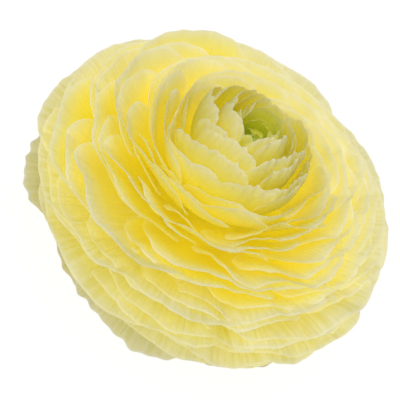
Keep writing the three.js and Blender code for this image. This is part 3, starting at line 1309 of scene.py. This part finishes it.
@dataclass
class Studio:
    """Pale floor, soft lights and the camera at the photograph's viewing angle.

    Angles are in degrees, the camera's distance, aim, slide and lens in millimetres.
    """

    elevation: float = 48.0
    roll: float = 34.0
    distance: float = 282.5
    aim: tuple[float, float, float] = (0.0, 0.0, 20.0)
    slide: Range = (-6.3, -4.15)
    lens: float = 100.0
    floor_half: float = 4.0
    floor_grey: float = 0.62
    floor_glow: float = 1.25
    glow_share: float = 0.72
    room_light: float = 0.45

    def directions(self) -> tuple[Vector, Vector, Vector]:
        """The picture's right and up directions, and the way that the camera looks."""
        high = math.radians(self.elevation)
        roll = math.radians(self.roll)
        ahead = Vector((0, math.cos(high), -math.sin(high)))
        level = Vector((1, 0, 0))
        upright = level.cross(ahead)
        right = level * math.cos(roll) + upright * math.sin(roll)
        up = upright * math.cos(roll) - level * math.sin(roll)
        return right, up, ahead

    def camera(self) -> None:
        """Makes the camera, rolled as the photograph is."""
        right, up, ahead = self.directions()
        lens = bpy.data.cameras.new("camera")
        lens.lens = self.lens
        lens.sensor_width = 36.0
        lens.clip_start, lens.clip_end = 0.01, 20.0
        camera = in_scene("camera", lens)
        place = Vector(self.aim) - ahead * self.distance
        place += right * self.slide[0] + up * self.slide[1]
        camera.matrix_world = Matrix.Translation(place * MM) @ Matrix(
            (right, up, -ahead)).transposed().to_4x4()
        bpy.context.scene.camera = camera

    def floor(self) -> None:
        """Makes the pale floor, which glows a little for the camera only."""
        half = self.floor_half
        mesh = bpy.data.meshes.new("floor")
        mesh.from_pydata([(-half, -half, 0), (half, -half, 0), (half, half, 0), (-half, half, 0)],
                         [], [(0, 1, 2, 3)])
        floor = in_scene("floor", mesh)
        material, wiring = blank_material("white_sweep")
        matte = wiring.add("ShaderNodeBsdfDiffuse", {"Color": (*[self.floor_grey] * 3, 1)})
        glow = wiring.add("ShaderNodeEmission", {
            "Color": (1, 1, 1, 1), "Strength": self.floor_glow})
        seen = wiring.add("ShaderNodeLightPath").outputs["Is Camera Ray"]
        share = wiring.math("MULTIPLY", seen, self.glow_share)
        both = wiring.blend(share, matte, glow)
        wiring.add("ShaderNodeOutputMaterial", {"Surface": both})
        mesh.materials.append(material)

    def build(self) -> None:
        """Makes the whole studio."""
        self.camera()
        self.floor()
        for softbox in SOFTBOXES:
            softbox.build(*self.directions())
        scene = bpy.context.scene
        world = bpy.data.worlds.new("soft_room")
        world.use_nodes = True
        sky = world.node_tree.nodes["Background"]
        sky.inputs["Color"].default_value = (1.0, 1.0, 1.0, 1)
        sky.inputs["Strength"].default_value = self.room_light
        scene.world = world
        scene.view_settings.view_transform = "Standard"
        scene.cycles.max_bounces = 16
        scene.cycles.diffuse_bounces = 8
        scene.cycles.transmission_bounces = 16
        scene.cycles.transparent_max_bounces = 24


def open_tree(name: str, inputs: dict[str, str]) -> tuple[Wiring, bpy.types.NodeOutputs]:
    """Starts a geometry node tree that works on a piece and dresses it in a finish.

    Args:
        name: the tree's name.
        inputs: its inputs between Geometry and Finish, with their kinds, Float or Int.

    Returns:
        Its wiring and the sockets of its inputs.
    """
    tree = bpy.data.node_groups.new(name, "GeometryNodeTree")
    face = tree.interface
    face.new_socket("Geometry", in_out="OUTPUT", socket_type="NodeSocketGeometry")
    for label, kind in {"Geometry": "Geometry", **inputs, "Finish": "Material"}.items():
        face.new_socket(label, in_out="INPUT", socket_type=f"NodeSocket{kind}")
    wiring = Wiring(tree)
    return wiring, wiring.add("NodeGroupInput").outputs


def close_tree(wiring: Wiring, shape: Socket, finish: Socket) -> bpy.types.NodeTree:
    """Ends a geometry node tree.

    Args:
        wiring: the tree's nodes.
        shape: what they made.
        finish: the finish to put on it.

    Returns:
        The tree.
    """
    real = wiring.add("GeometryNodeRealizeInstances", {"Geometry": shape})
    dressed = wiring.add("GeometryNodeSetMaterial", {
        "Geometry": real, "Material": finish})
    wiring.add("NodeGroupOutput", {"Geometry": dressed})
    return wiring.tree


def crinkle_tree() -> bpy.types.NodeTree:
    """Geometry nodes that crinkle the rims of petals and dress them.

    Returns:
        The tree. Height and Length are in metres.
    """
    wiring, source = open_tree("rim_crinkles", {
        "Height": "Float", "Length": "Float", "Seed": "Float"})
    place = wiring.add("GeometryNodeInputPosition").outputs[0]
    noise = wiring.add("ShaderNodeTexNoise", {
        "Vector": place, "W": source["Seed"], "Detail": 1.0,
        "Scale": wiring.math("DIVIDE", 1.0, source["Length"])}, noise_dimensions="4D")
    out = wiring.stored("outward", "FLOAT_VECTOR")
    swing = wiring.math("MULTIPLY_ADD", noise, 2.0, -1.0)
    height = wiring.math("MULTIPLY", swing, source["Height"])
    reach = wiring.math("MULTIPLY", height, wiring.stored("rim"))
    shift = wiring.add("ShaderNodeVectorMath", {0: out, "Scale": reach},
                       operation="SCALE")
    moved = wiring.add("GeometryNodeSetPosition", {
        "Geometry": source["Geometry"], "Offset": shift})
    return close_tree(wiring, moved.outputs[0], source["Finish"])


def scatter_tree(name: str, sizes: Sequence[str], shape: Callable) -> bpy.types.NodeTree:
    """Geometry nodes that cover a surface with many small copies of one shape.

    Args:
        name: the tree's name.
        sizes: names of the shape's own inputs, lengths in metres.
        shape: makes the shape, given the wiring and the input sockets, and returns its socket and
            the scale of one copy.

    Returns:
        The tree. Density is in copies for each square metre, Gap in metres.
    """
    floats = dict.fromkeys(("Density", "Gap", *sizes), "Float")
    wiring, source = open_tree(name, {**floats, "Seed": "Int"})
    grown = wiring.math("LESS_THAN", wiring.stored("rim"), 0.4)
    spots = wiring.add("GeometryNodeDistributePointsOnFaces", {
        "Mesh": source["Geometry"], "Selection": grown, "Distance Min": source["Gap"],
        "Density Max": source["Density"], "Seed": source["Seed"]}, distribute_method="POISSON")
    body, scale = shape(wiring, source)
    copies = wiring.add("GeometryNodeInstanceOnPoints", {
        "Points": spots.outputs["Points"], "Instance": body,
        "Rotation": spots.outputs["Rotation"], "Scale": scale})
    both = wiring.add("GeometryNodeJoinGeometry")
    for part in (copies.outputs[0], source["Geometry"]):
        wiring.tree.links.new(part, both.inputs[0])
    smoothed = wiring.add("GeometryNodeSetShadeSmooth", {"Geometry": both})
    return close_tree(wiring, smoothed.outputs[0], source["Finish"])


def random_scale(wiring: Wiring, source: object, low: float) -> Socket:
    """Even scale of each copy, between low and 1."""
    node = wiring.add("FunctionNodeRandomValue", {"Seed": source["Seed"]}, data_type="FLOAT")
    node.inputs[2].default_value = low
    node.inputs[3].default_value = 1.0
    return node.outputs[1]


def wire_knob(wiring: Wiring, source: object) -> tuple[Socket, ...]:
    """One carpel: a small egg that stands out from the cone."""
    egg = wiring.add("GeometryNodeMeshUVSphere", {
        "Segments": 8, "Rings": 6, "Radius": source["Radius"]})
    tall = wiring.add("GeometryNodeTransform", {
        "Geometry": egg, "Scale": (0.9, 0.9, 1.5)})
    return tall.outputs[0], random_scale(wiring, source, 0.8)


def wire_hair(wiring: Wiring, source: object) -> tuple[Socket, ...]:
    """One fine hair: a slim closed cone."""
    hair = wiring.add("GeometryNodeMeshCone", {
        "Vertices": 4, "Side Segments": 2, "Radius Top": 0.000008,
        "Radius Bottom": source["Radius"], "Depth": source["Length"]})
    return hair.outputs[0], random_scale(wiring, source, 0.4)


def with_tree(piece: bpy.types.Object, tree: bpy.types.NodeTree, values: dict[str, object]) -> None:
    """Puts a geometry node tree on a piece.

    Args:
        piece: the piece.
        tree: the tree.
        values: the tree's inputs by name.
    """
    modifier = piece.modifiers.new(tree.name, "NODES")
    modifier.node_group = tree
    for item in tree.interface.items_tree:
        if item.item_type == "SOCKET" and item.in_out == "INPUT" and item.name in values:
            modifier[item.identifier] = values[item.name]


def settle(pieces: Sequence[bpy.types.Object]) -> None:
    """Turns what the modifiers make of each piece into its plain mesh.

    Args:
        pieces: the pieces.
    """
    graph = bpy.context.evaluated_depsgraph_get()
    shapes = [
        bpy.data.meshes.new_from_object(
            piece.evaluated_get(graph), preserve_all_data_layers=True, depsgraph=graph)
        for piece in pieces
    ]
    for piece, shape in zip(pieces, shapes):
        source = piece.data
        piece.modifiers.clear()
        piece.data = shape
        bpy.data.meshes.remove(source)
        shape.name = piece.name


# Scattered growth on the green parts and crinkles on the petals: tree inputs in metres, and
# copies for each square metre.
STEM_HAIRS = {"Density": 9.0e5, "Gap": 0.0008, "Radius": 0.00003, "Length": 0.0007}
SEPAL_HAIRS = {"Density": 1.6e6, "Gap": 0.0006, "Radius": 0.000035, "Length": 0.001}
CARPEL_KNOBS = {"Density": 4.0e6, "Gap": 0.0007, "Radius": 0.00045}
PETAL_CRINKLES = {"Height": 0.00025, "Length": 0.003}


def main() -> None:
    """Builds the flower and its studio."""
    logging.basicConfig(level=logging.INFO, format="%(message)s")
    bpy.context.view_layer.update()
    Studio().build()
    low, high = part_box("stem_and_receptacle")
    stem = Vector((low[0] + high[0], low[1] + high[1], 0)) / 2 / MM
    effects = Effects()
    materials = {slot: finish.material(effects) for slot, finish in FINISHES.items()}
    crinkles = crinkle_tree()
    knobs = scatter_tree("carpel_knobs", ("Radius",), wire_knob)
    hairs = scatter_tree("fine_hairs", ("Radius", "Length"), wire_hair)
    dressings = {
        "stem": (hairs, STEM_HAIRS), "sepal": (hairs, SEPAL_HAIRS),
        "carpels": (knobs, CARPEL_KNOBS),
    }
    shells = Shells()
    parts = [StemStub(stem), CarpelHead(stem, shells), Calyx(stem), Corolla(stem, shells)]
    made = []
    for order, (name, node, slot, mesh) in enumerate(p for part in parts for p in part.pieces()):
        piece = in_scene(name, mesh)
        tree, sizes = dressings.get(slot, (crinkles, PETAL_CRINKLES))
        seed = float(order) if tree is crinkles else order
        with_tree(piece, tree, dict(sizes, Seed=seed, Finish=materials[slot]))
        made.append((piece, node, slot))
    settle([piece for piece, _, _ in made])
    for piece, node, slot in made:
        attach(piece, BODY)
        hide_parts(node)
        LOG.info("%s: %d faces", piece.name, len(piece.data.polygons))


if __name__ == "__main__":
    main()
